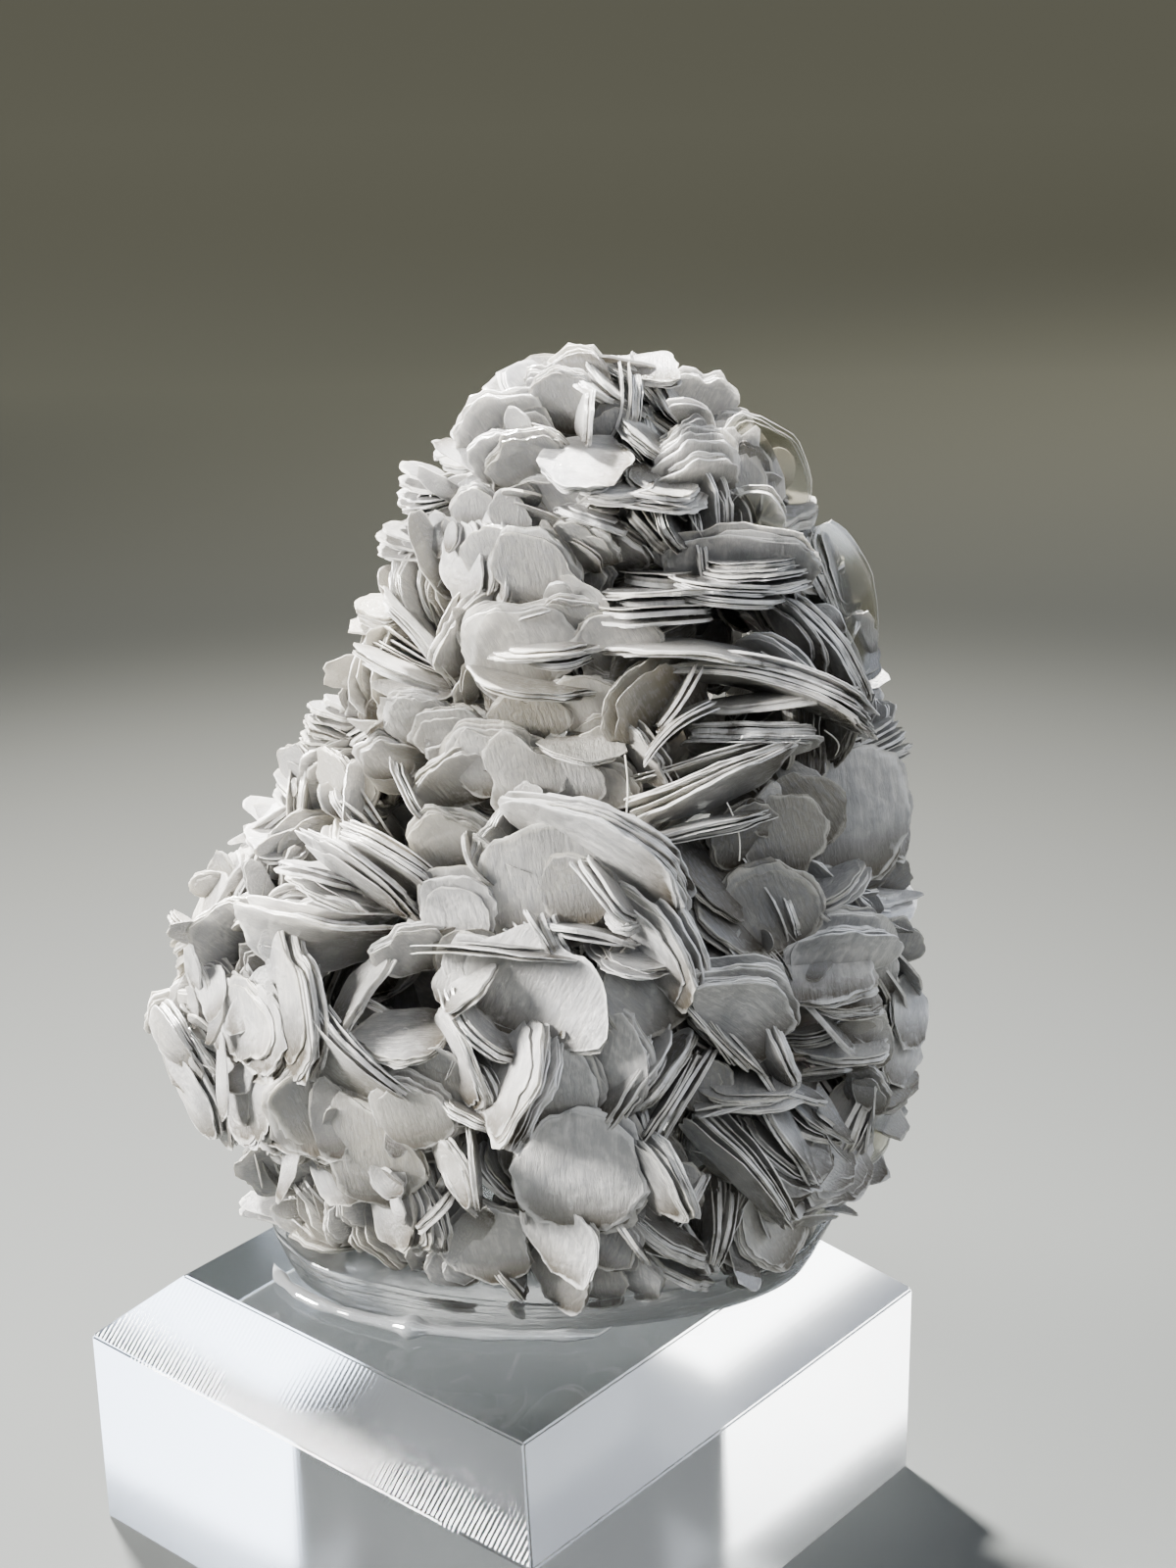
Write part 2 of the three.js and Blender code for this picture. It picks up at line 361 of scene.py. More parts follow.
UPPER_BOOKS = [
    (-10.8, 12.7, 2.3, 1.0, 50, 100, 160, 7, 0.2, 0.8),
    (-7.6, 14.3, 2.3, 1.1, 55, 180, 95, 7, 0.3, 0.7),
    (-6.4, 14.6, 2.5, 1.1, 60, 180, 92, 7, 0.4, 0.75),
    (-5.4, 14.6, 2.2, 1.1, 42, 172, 100, 6, 0.8, 0.8),
    (-3.3, 13.7, 2.4, 1.0, 25, 200, 100, 6, 1.0, 0.65),
    (-0.6, 15.9, 1.5, 1.0, 45, 170, 100, 5, 0.5, 0.7),
    (0.5, 15.3, 1.5, 1.0, 50, 170, 95, 5, 0.6, 0.7),
    (-1.0, 10.4, 2.2, 1.0, 45, 175, 100, 6, 0.3, 0.7),
    (10.2, 14.6, 4.4, 0.65, 52, 270, 90, 8, 1.2, 0.75),
    (10.9, 13.4, 3.1, 0.8, 82, 90, 270, 11, 1.2, 0.9),
    (9.2, 12.2, 3.5, 0.7, 84, 82, 270, 11, 1.8, 0.9),
    (15.3, 13.4, 2.3, 1.0, 80, 23, 113, 4, 0.5, 0.8),
    (16.0, 13.7, 2.3, 1.0, 80, 20, 110, 4, 0.4, 0.85),
    (14.8, 14.0, 2.2, 1.0, 80, 25, 115, 3, 0.6, 0.9),
    (17.0, 9.5, 2.0, 1.1, 40, 0, 100, 5, 0.6, 0.5),
    (17.8, 7.9, 1.3, 1.0, 35, 300, 280, 4, 0.6, 0.35),
    (-10.3, 9.4, 2.5, 1.5, 78, 38, 128, 7, 1.0, 0.9),
    (-11.6, 7.4, 2.4, 1.5, 78, 71, 161, 7, 0.9, 0.9),
    (-13.0, 8.3, 2.4, 1.0, 30, 150, 150, 5, -0.2, 0.35),
    (-13.4, 11.0, 1.4, 1.0, 60, 100, 160, 5, 0.0, 0.85),
    (-7.6, 9.9, 2.5, 1.0, 45, 100, 110, 7, 0.2, 0.8),
    (-4.4, 8.6, 3.3, 0.95, 28, 190, 110, 8, 0.8, 0.7),
    (-2.9, 8.6, 2.0, 1.45, 82, 95, 180, 4, 2.6, 1.0),
    (-1.9, 7.7, 1.5, 1.3, 82, 92, 180, 3, 2.3, 0.9),
    (-3.8, 6.4, 2.8, 1.35, 76, 80, 190, 5, 1.4, 0.85),
    (4.5, 11.3, 3.3, 0.8, 84, 90, 270, 11, 1.2, 0.8),
    (1.8, 9.2, 2.3, 1.0, 35, 165, 110, 6, 0.8, 0.65),
    (15.6, 9.0, 2.2, 1.6, 72, 220, 130, 9, 1.6, 0.95),
    (7.6, 8.9, 2.6, 1.9, 82, 82, 172, 4, 2.2, 0.9),
]
MIDDLE_BOOKS = [
    (-3.8, 4.1, 1.8, 1.0, 35, 200, 100, 5, 0.3, 0.6),
    (-8.6, 0.6, 2.2, 1.0, 45, 150, 120, 5, 0.5, 0.7),
    (-6.4, 1.6, 2.5, 1.0, 30, 190, 100, 6, 0.5, 0.7),
    (-4.1, 0.6, 2.4, 1.0, 35, 180, 95, 6, 0.7, 0.7),
    (-16.2, 4.6, 1.4, 1.2, 70, 80, 190, 6, 0.0, 0.5, 3.0),
    (-16.5, 3.2, 1.5, 1.2, 72, 75, 185, 6, 0.0, 0.5, 3.0),
    (-18.4, 1.0, 1.7, 1.1, 62, 205, 150, 6, 0.0, 0.5),
    (-17.2, 0.6, 1.8, 1.1, 60, 210, 125, 6, 0.2, 0.5),
    (-16.1, 0.3, 1.8, 1.1, 62, 200, 105, 6, 0.3, 0.55),
    (-11.3, -1.1, 1.8, 1.4, 80, 35, 125, 5, 0.8, 0.85),
    (-15.6, -1.9, 1.4, 1.2, 80, 37, 127, 5, 0.6, 0.8),
    (-0.2, 2.4, 2.7, 0.8, 68, 90, 270, 6, 1.2, 0.9),
    (-14.0, 5.1, 1.9, 1.0, 40, 160, 140, 5, 0.0, 0.7),
    (-10.8, 4.1, 2.1, 1.0, 35, 170, 110, 6, 0.2, 0.75),
    (-13.0, 1.9, 1.9, 1.0, 45, 170, 110, 5, 0.2, 0.7),
    (-9.2, 3.2, 2.0, 1.0, 35, 190, 100, 5, 0.3, 0.65),
    (0.0, 5.1, 2.2, 1.0, 40, 175, 100, 6, 0.3, 0.6),
    (11.8, 7.0, 3.6, 2.0, 84, 256, 166, 15, 2.2, 0.95),
    (4.3, 5.4, 3.2, 1.0, 50, 345, 130, 7, 1.2, 0.25),
    (5.9, 5.5, 1.3, 1.9, 82, 148, 58, 3, 2.4, 0.95),
    (5.4, 3.7, 1.3, 2.0, 82, 131, 41, 3, 2.8, 0.95),
    (11.8, 5.7, 2.4, 2.0, 82, 97, 187, 5, 2.0, 0.8),
    (10.7, 3.1, 3.5, 0.8, 78, 270, 270, 11, 1.8, 0.95),
    (15.6, 3.8, 2.3, 1.1, 55, 180, 90, 6, 0.6, 0.2),
    (16.9, 3.7, 2.2, 1.1, 58, 180, 90, 6, 0.4, 0.35),
    (18.6, 3.9, 1.5, 1.1, 55, 180, 90, 6, 0.3, 0.95),
    (17.2, 1.8, 2.0, 1.7, 82, 100, 10, 10, 1.0, 0.9),
    (7.8, 0.3, 2.6, 1.9, 76, 287, 197, 11, 1.8, 0.9),
    (3.8, 1.8, 1.8, 1.2, 65, 216, 126, 7, 1.4, 0.9),
    (0.6, 0.0, 2.3, 1.1, 40, 190, 100, 6, 0.4, 0.7),
    (-1.6, 0.3, 2.2, 1.1, 40, 185, 95, 6, 0.6, 0.75),
    (7.1, -2.7, 1.9, 2.0, 84, 104, 194, 4, 2.2, 0.9),
    (8.1, -2.9, 1.7, 1.9, 84, 100, 190, 3, 2.0, 0.8),
    (13.7, -1.9, 2.7, 1.0, 25, 180, 120, 5, 0.3, 0.3),
    (16.9, -2.2, 3.8, 1.0, 20, 10, 100, 8, 1.2, 0.75),
    (19.4, -1.9, 2.0, 1.4, 65, 20, 110, 6, 0.2, 0.9),
    (10.3, -3.2, 2.1, 1.3, 50, 0, 100, 4, 0.0, 0.3),
    (12.7, -3.5, 2.5, 1.0, 20, 190, 100, 5, 0.8, 0.35),
]
LEFT_BOOKS = [
    (-19.7, -3.2, 3.4, 1.0, 60, 100, 150, 5, -0.6, 0.6),
    (-20.0, -4.1, 1.6, 1.0, 40, 120, 140, 4, 0.1, 0.7),
    (-14.5, -5.8, 2.2, 1.8, 76, 232, 142, 8, 1.0, 0.9),
    (-12.1, -5.0, 2.1, 1.8, 78, 235, 145, 8, 0.8, 0.85),
    (-17.5, -5.7, 2.3, 1.6, 80, 76, 166, 5, 1.3, 0.95),
    (-17.7, -9.7, 3.1, 1.6, 62, 262, 175, 9, 1.0, 0.85),
    (-22.8, -9.5, 2.8, 1.0, 45, 190, 130, 6, -0.5, 0.6),
    (-24.6, -6.4, 1.2, 1.0, 50, 120, 120, 4, -0.2, 0.7),
    (-26.2, -9.2, 0.9, 1.2, 75, 60, 150, 4, 0.0, 0.9),
    (-24.9, -13.2, 1.8, 1.4, 75, 205, 115, 6, 0.2, 0.9),
    (-27.0, -14.9, 1.7, 1.0, 50, 180, 150, 5, 0.0, 0.8),
    (-26.7, -16.2, 2.0, 1.1, 65, 210, 140, 6, 0.2, 0.8),
    (-25.8, -17.8, 2.1, 1.1, 68, 215, 135, 6, 0.4, 0.8),
    (-22.9, -15.3, 2.5, 1.1, 60, 185, 100, 7, 0.2, 0.7),
    (-21.7, -15.6, 2.6, 1.1, 60, 185, 95, 7, 0.5, 0.65),
    (-20.9, -15.9, 2.6, 1.1, 62, 185, 92, 7, 0.7, 0.65),
    (-19.2, -13.4, 3.2, 1.45, 70, 185, 90, 9, 1.2, 0.8),
    (-14.8, -13.4, 2.1, 1.4, 70, 145, 55, 5, 0.8, 0.8),
    (-11.4, -10.5, 2.1, 1.0, 45, 130, 120, 5, 0.2, 0.7),
    (-12.1, -16.2, 2.7, 1.0, 55, 100, 170, 6, 0.8, 0.75),
    (-15.4, -17.8, 2.4, 1.6, 70, 225, 135, 6, 1.8, 1.0),
    (-17.2, -20.4, 3.6, 1.0, 20, 200, 110, 7, 0.9, 0.65),
    (-25.1, -20.0, 2.1, 1.5, 68, 205, 115, 7, 0.0, 0.9),
    (-23.9, -20.3, 2.1, 1.5, 65, 195, 105, 7, 0.2, 0.95),
    (-22.4, -20.0, 2.2, 1.5, 60, 185, 95, 7, 0.4, 0.75),
    (-21.3, -19.7, 2.2, 1.5, 65, 180, 90, 6, 0.5, 0.55),
    (-20.0, -21.0, 2.2, 1.2, 60, 180, 95, 4, 0.7, 0.7),
    (-20.0, -24.7, 3.0, 0.8, 58, 270, 165, 6, 0.6, 0.8),
    (-13.7, -24.2, 2.9, 1.6, 42, 185, 90, 6, 1.0, 0.7),
    (-15.9, -28.1, 1.4, 1.0, 40, 180, 175, 4, 0.8, 0.85),
    (-11.4, -21.0, 2.6, 1.25, 42, 185, 95, 8, 1.3, 0.8),
    (-12.7, -27.3, 2.2, 1.2, 58, 190, 115, 7, 1.0, 0.7),
    (-11.4, -27.7, 2.2, 1.2, 62, 190, 110, 7, 1.2, 0.7),
    (-10.2, -28.0, 1.9, 1.2, 68, 200, 60, 6, 1.4, 0.6),
]
CENTRE_BOOKS = [
    (1.0, -4.1, 3.7, 1.5, 64, 242, 152, 15, 2.0, 0.95),
    (-2.2, -6.7, 3.9, 1.0, 30, 200, 95, 8, 1.2, 0.6),
    (-0.6, -6.7, 2.2, 1.1, 35, 190, 95, 5, 2.0, 0.4),
    (1.8, -7.1, 2.0, 1.5, 80, 38, 128, 6, 2.4, 0.9),
    (1.7, -7.9, 0.9, 1.5, 75, 30, 125, 3, 2.4, 0.8),
    (2.4, -9.0, 1.1, 0.8, 55, 80, 270, 5, 2.6, 1.0),
    (0.0, -9.4, 1.4, 2.0, 83, 78, 168, 3, 2.4, 0.95),
    (0.6, -9.9, 1.4, 1.9, 83, 80, 170, 3, 2.2, 0.9),
    (-3.1, -9.5, 0.9, 1.5, 80, 30, 120, 3, 2.4, 0.95),
    (-2.5, -9.7, 0.9, 1.5, 80, 28, 118, 3, 2.2, 0.8),
    (-1.9, -9.9, 0.9, 1.5, 80, 25, 115, 3, 2.0, 0.8),
    (-6.0, -10.6, 2.3, 1.8, 82, 87, 177, 4, 2.4, 0.9),
    (-8.3, -8.3, 2.7, 1.0, 35, 100, 95, 7, 0.8, 0.75),
    (-7.3, -11.8, 1.9, 1.0, 30, 90, 90, 4, 1.0, 0.65),
    (-7.8, -13.2, 1.6, 1.4, 62, 135, 45, 5, 2.4, 1.0),
    (-3.2, -13.4, 3.7, 1.05, 25, 150, 60, 7, 1.8, 0.65),
    (3.8, -13.0, 3.4, 1.0, 35, 60, 150, 6, 1.2, 0.5),
    (3.2, -11.1, 2.8, 0.9, 65, 80, 170, 6, 1.4, 0.7),
    (-6.5, -4.3, 1.4, 1.0, 45, 60, 130, 4, 0.6, 0.95),
    (-9.2, -3.8, 2.2, 1.1, 35, 200, 110, 5, 0.4, 0.65),
    (-5.4, -5.7, 1.9, 1.0, 35, 120, 80, 5, 0.5, 0.75),
    (-7.5, -5.0, 1.0, 1.9, 80, 28, 118, 3, 1.4, 0.9),
    (5.2, -9.9, 2.5, 1.5, 62, 210, 120, 12, 2.2, 0.9),
    (7.6, -6.0, 2.2, 1.4, 65, 40, 130, 4, -1.0, 0.15),
    (6.4, -7.9, 2.2, 1.2, 55, 40, 140, 4, -0.6, 0.2),
    (8.9, -8.9, 2.4, 1.3, 60, 40, 130, 4, -0.5, 0.2),
    (10.2, -11.1, 1.8, 1.4, 75, 40, 130, 4, 0.2, 0.3),
    (9.9, -14.0, 2.8, 1.4, 50, 205, 122, 12, 2.2, 1.0),
    (11.8, -17.2, 1.7, 1.5, 70, 205, 115, 8, 2.0, 0.95),
    (7.3, -15.3, 1.7, 1.9, 82, 40, 130, 3, 1.6, 0.8),
    (8.1, -15.9, 1.7, 1.9, 82, 40, 130, 3, 1.5, 0.6),
    (8.8, -16.4, 1.7, 1.9, 82, 40, 130, 3, 1.4, 0.8),
    (9.5, -16.9, 1.7, 1.9, 82, 40, 130, 3, 1.3, 0.6),
    (10.2, -17.3, 1.7, 1.9, 82, 40, 130, 3, 1.2, 0.8),
    (-1.8, -19.2, 2.5, 1.45, 35, 185, 88, 7, 1.2, 0.8),
    (1.3, -18.1, 2.7, 1.5, 45, 165, 72, 9, 1.6, 0.85),
    (3.1, -19.0, 2.2, 1.5, 62, 150, 62, 8, 1.5, 0.85),
    (4.8, -18.8, 1.9, 1.5, 68, 145, 58, 6, 1.2, 0.7),
    (5.1, -20.5, 1.6, 1.9, 82, 148, 60, 3, 1.4, 0.7),
    (5.7, -20.3, 1.6, 1.9, 82, 148, 58, 3, 1.2, 0.8),
    (6.4, -20.2, 1.6, 1.9, 84, 150, 58, 3, 1.0, 0.7),
    (7.3, -19.4, 1.9, 1.0, 25, 90, 90, 4, 0.2, 0.2),
    (-9.9, -19.7, 2.7, 1.2, 40, 190, 90, 7, 0.5, 0.55),
    (-8.6, -17.8, 2.2, 1.5, 72, 202, 112, 6, 1.5, 0.9),
    (-7.1, -16.3, 1.9, 1.4, 70, 48, 138, 7, 1.6, 0.95),
    (-4.4, -18.8, 2.9, 1.4, 60, 160, 70, 11, 1.6, 0.85),
    (-6.4, -20.0, 1.7, 1.3, 70, 195, 105, 5, 1.2, 0.85),
    (-7.4, -21.8, 1.4, 1.4, 78, 65, 155, 5, 1.8, 0.85),
]
RIGHT_BOOKS = [
    (13.0, -8.4, 1.1, 1.4, 80, 200, 105, 4, 1.0, 1.0),
    (14.6, -7.9, 0.9, 1.4, 78, 40, 130, 4, 1.2, 1.0),
    (11.8, -8.3, 3.0, 1.1, 25, 200, 110, 5, 0.3, 0.4),
    (15.6, -6.7, 2.2, 1.1, 60, 120, 40, 6, 0.8, 0.6),
    (17.0, -7.5, 1.2, 1.1, 50, 180, 90, 4, 1.4, 0.9),
    (19.4, -5.8, 1.5, 1.0, 40, 45, 60, 4, 0.2, 0.35),
    (19.2, -7.1, 1.6, 1.0, 70, 80, 0, 6, 0.3, 0.95),
    (19.8, -10.3, 1.9, 1.1, 50, 0, 80, 4, 0.2, 0.45),
    (16.2, -10.3, 3.4, 0.8, 50, 80, 90, 9, 1.0, 0.85, 1.0),
    (15.8, -12.3, 3.8, 0.75, 52, 80, 90, 8, 1.5, 0.8, 1.0),
    (16.7, -14.0, 2.8, 0.8, 58, 80, 90, 7, 2.0, 0.85, 1.0),
    (18.1, -15.6, 1.4, 1.0, 45, 80, 90, 5, 1.6, 0.8),
    (15.9, -15.6, 1.5, 1.9, 83, 43, 133, 3, 2.6, 0.95),
    (20.7, -14.6, 2.2, 1.1, 60, 5, 90, 6, 0.2, 0.85),
    (20.0, -17.2, 2.1, 1.1, 55, 350, 60, 6, 0.2, 0.7),
    (16.9, -17.5, 2.5, 0.9, 72, 90, 270, 8, 0.8, 0.7),
    (18.1, -19.8, 1.8, 1.1, 50, 180, 90, 5, 0.6, 0.3),
    (19.6, -19.7, 1.6, 1.1, 45, 0, 300, 4, 0.3, 0.3),
    (10.7, -19.9, 2.7, 0.8, 58, 90, 270, 8, 1.2, 0.95),
    (13.5, -20.0, 1.5, 1.5, 78, 68, 158, 5, 1.8, 0.9),
    (10.2, -24.5, 2.2, 2.0, 74, 220, 130, 10, 1.8, 0.8),
    (12.9, -22.6, 1.9, 1.7, 76, 30, 120, 5, 2.0, 0.85),
    (12.1, -24.0, 2.0, 1.7, 72, 50, 140, 6, 1.2, 0.75),
    (9.5, -20.6, 1.5, 1.7, 75, 100, 190, 5, 1.6, 0.85),
    (15.6, -22.1, 1.3, 1.6, 78, 55, 145, 5, 1.4, 0.95),
    (15.9, -24.8, 2.4, 1.1, 35, 330, 140, 5, 0.6, 0.75),
    (14.3, -27.2, 1.6, 1.3, 68, 120, 30, 6, 0.8, 0.3),
    (11.8, -28.3, 3.0, 1.1, 48, 60, 140, 6, 0.9, 0.5),
]
BASE_BOOKS = [
    (-8.7, -24.8, 1.6, 1.5, 68, 205, 115, 6, 1.9, 0.95),
    (-7.3, -24.9, 1.4, 1.9, 82, 7, 97, 3, 2.2, 0.95),
    (-8.5, -26.6, 1.0, 1.7, 82, 35, 125, 3, 2.3, 0.95),
    (-9.7, -27.5, 1.0, 1.6, 80, 138, 48, 4, 1.8, 0.9),
    (-0.6, -24.8, 3.9, 1.1, 25, 200, 85, 8, 1.2, 0.7),
    (3.9, -24.8, 2.4, 1.6, 72, 204, 114, 9, 2.2, 0.95),
    (-0.3, -26.1, 2.9, 1.0, 30, 160, 95, 6, 2.2, 0.75),
    (-1.6, -29.1, 2.6, 1.25, 50, 150, 60, 8, 2.8, 0.8),
    (1.6, -29.6, 2.0, 1.1, 35, 150, 60, 6, 3.2, 0.7),
    (2.6, -29.0, 1.3, 1.8, 82, 34, 124, 4, 3.8, 0.95),
    (4.6, -29.4, 2.0, 1.4, 76, 58, 148, 7, 2.8, 0.85),
    (3.5, -31.8, 1.7, 1.1, 50, 160, 80, 6, 3.0, 0.75),
    (5.7, -31.5, 1.6, 1.3, 72, 60, 140, 6, 2.8, 0.85),
    (-1.6, -31.8, 1.9, 1.1, 40, 150, 70, 6, 3.0, 0.75),
    (1.0, -32.1, 1.8, 1.0, 35, 170, 90, 5, 3.0, 0.7),
    (-6.7, -29.9, 2.8, 1.0, 35, 110, 100, 7, 1.6, 0.6),
    (-8.3, -31.1, 2.0, 1.0, 40, 180, 130, 5, 1.8, 0.7),
    (-5.4, -31.5, 1.6, 1.4, 70, 40, 120, 5, 2.2, 0.7),
    (6.4, -26.1, 1.3, 1.1, 30, 180, 90, 4, 0.3, 0.5),
    (6.7, -26.8, 1.3, 1.5, 75, 146, 56, 4, 1.2, 0.8),
    (6.7, -30.4, 1.5, 1.4, 70, 215, 125, 6, 1.8, 0.95),
    (8.1, -28.6, 1.5, 1.7, 80, 175, 98, 4, 1.6, 0.6),
    (8.9, -28.7, 1.5, 1.7, 80, 170, 90, 4, 1.4, 0.7),
]

# Dark hollows between the books that show in front: mm right, mm up and radius in mm.
HOLLOWS = [
    (0.6, 22.8, 1.3), (4.3, 23.5, 1.2), (8.3, 11.2, 1.4), (11.0, 11.0, 1.4), (10.0, 6.5, 2.0),
    (6.7, 2.5, 1.3), (-9.9, 8.6, 1.5), (-2.2, 5.1, 1.7), (-14.0, 3.8, 1.0), (-11.6, -1.3, 1.3),
    (-11.8, -5.6, 1.6), (6.4, -5.1, 2.6), (9.2, -5.1, 2.2), (0.3, -9.9, 1.0), (-4.4, -11.2, 0.8),
    (-16.2, -12.7, 1.6), (-11.8, -12.7, 1.8), (-2.5, -21.0, 1.3), (-6.4, -23.5, 1.3), (5.4, -23.5, 2.2),
    (7.3, -22.9, 1.6), (11.1, -21.9, 1.6), (13.7, -16.5, 1.8), (16.5, -22.2, 0.9), (7.6, -27.3, 1.4),
]
PLACED_POINTS = 40  # points round a leaf of a placed book
FILLER_POINTS = 24
MOST_IN_PACKET = 4  # leaves grown tight in one packet of a book
LEAVES_SHARE = 1.45
FILLER_SPACING = 2.3
SMALL_FLAKES = 620
INNER_RING = 0.92  # where a face ends and its white torn rim starts
FACE_ON = 50  # degrees of facing up to which a plate shows mostly its face
CLUSTER_LOW, CLUSTER_HIGH = (np.array(corner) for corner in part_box("mica_cluster"))
rng = np.random.default_rng(11)


def half_widths(z):
    """The body's middle and half sizes, across and deep, at a height."""
    left, right, front, back = (np.interp(z, SECTIONS[:, 0], SECTIONS[:, i]) for i in (1, 2, 3, 4))
    return (left + right) / 2, (front + back) / 2, (right - left) / 2, (back - front) / 2


def on_body(angle, z):
    """A point of the body's skin and its outward direction."""
    cx, cy, hx, hy = half_widths(z)
    point = np.array([cx + hx * math.cos(angle), cy + hy * math.sin(angle), z])
    _, _, hx_up, hy_up = half_widths(z + 1)
    lean = (hx - hx_up) * abs(math.cos(angle)) + (hy - hy_up) * abs(math.sin(angle))
    out = np.array([math.cos(angle) / hx, math.sin(angle) / hy, 0])
    out /= np.linalg.norm(out)
    out[2] = np.clip(lean, -1.2, 1.2)
    return point, out / np.linalg.norm(out)


def seen_at(across, above):
    """The skin point seen at a place in the front view, and there the ways right, up and to the eye."""
    aim = -BACK * CAMERA_DISTANCE + RIGHT * across + UP * above
    aim /= np.linalg.norm(aim)
    points = EYE + aim * np.linspace(CAMERA_DISTANCE - 40, CAMERA_DISTANCE + 40, 800)[:, None]
    cx, cy, hx, hy = half_widths(points[:, 2])
    over = np.clip(points[:, 2] - SECTIONS[-1, 0], 0, None)
    level = ((points[:, 0] - cx) / hx) ** 2 + ((points[:, 1] - cy) / hy) ** 2 + over
    inside = np.flatnonzero(level < 1)
    point = points[inside[0] if len(inside) else np.argmin(level)]
    right = RIGHT + aim * (RIGHT @ -aim)
    right /= np.linalg.norm(right)
    return point, right, np.cross(-aim, right), -aim


class Plates:
    """Leaves gathered as arrays, to be made into one mesh."""

    def __init__(self):
        self.points, self.faces, self.rim, self.tip, self.tone, self.grain = [], [], [], [], [], []
        self.count = 0

    def add(self, points, faces, rim, tip, tone, grain):
        """Adds one packet; one that would stand out of the cluster's box is drawn in until it fits."""
        points = placed(points)
        past_high = np.maximum(points.max(axis=0) - CLUSTER_HIGH, 0)
        past_low = np.minimum(points.min(axis=0) - CLUSTER_LOW, 0)
        points -= past_high + past_low
        self.faces.append(faces + self.count)
        self.points.append(points)
        self.rim.append(rim)
        self.tip.append(tip)
        self.tone.append(tone)
        self.grain.append(grain)
        self.count += len(points)


def packet_faces(count, leaves):
    """The triangles of a packet of leaves: two caps and, between them, a stepped rim of two rings a leaf."""
    half = count // 2
    rim = 1 + half
    last = rim + (2 * leaves - 1) * count
    under = last + count
    faces = []
    for i in range(half):
        a, b = 1 + i, 1 + (i + 1) % half
        before, level, after = ((2 * i + k) % count for k in (0, 1, 2))
        faces += [(0, a, b), (a, rim + before, rim + level), (a, rim + level, b),
                  (b, rim + level, rim + after)]
        c, d = under + a, under + b
        faces += [(under, d, c), (c, last + level, last + before), (c, d, last + level),
                  (d, last + after, last + level)]
    for first in range(rim, last, count):
        for i in range(count):
            a, b = first + i, first + (i + 1) % count
            faces += [(a, a + count, b + count), (a, b + count, b)]
    return np.array(faces)


PACKET_FACES = {(count, leaves): packet_faces(count, leaves)
                for count in (PLACED_POINTS, FILLER_POINTS) for leaves in range(1, MOST_IN_PACKET + 1)}


def worn_outline(turn, wear):
    """How far a plate's rim lies from its centre: a worn hexagon with rounded corners."""
    six = (turn + rng.uniform(0, 2)) % (math.pi / 3) - math.pi / 6
    hexagon = math.cos(math.pi / 6) / np.cos(six)
    r = 0.55 * hexagon * 1.06 + 0.45
    for k, amount in ((1, 0.05), (2, 0.09), (3, 0.06), (5, 0.03), (8, 0.015)):
        r = r + wear * amount * rng.normal() * np.cos(k * turn + rng.uniform(0, 6.3))
    return r


def torn_rims(turn, leaves, wear):
    """Each leaf's own share of the rim's distance: wavy, ragged and here and there chipped."""
    shares = 1 + rng.normal(0, 0.016, len(turn)) + rng.normal(0, 0.012, (leaves, len(turn)))
    shares += rng.normal(0, 0.02, (leaves, 1))
    for k in (2, 4, 6, 9, 13):
        phase = rng.uniform(0, 6.3, (leaves, 1))
        shares += rng.normal(0, 0.03 / math.sqrt(k), (leaves, 1)) * np.cos(k * turn + phase)
    chip = np.cos(turn - rng.uniform(-1.6, 1.6, (leaves, 1)))
    limit = rng.uniform(0.78, 1.3, (leaves, 1)) / np.maximum(chip, 0.35)
    return 1 + wear * (np.where(chip > 0.35, np.minimum(shares, limit), shares) - 1)


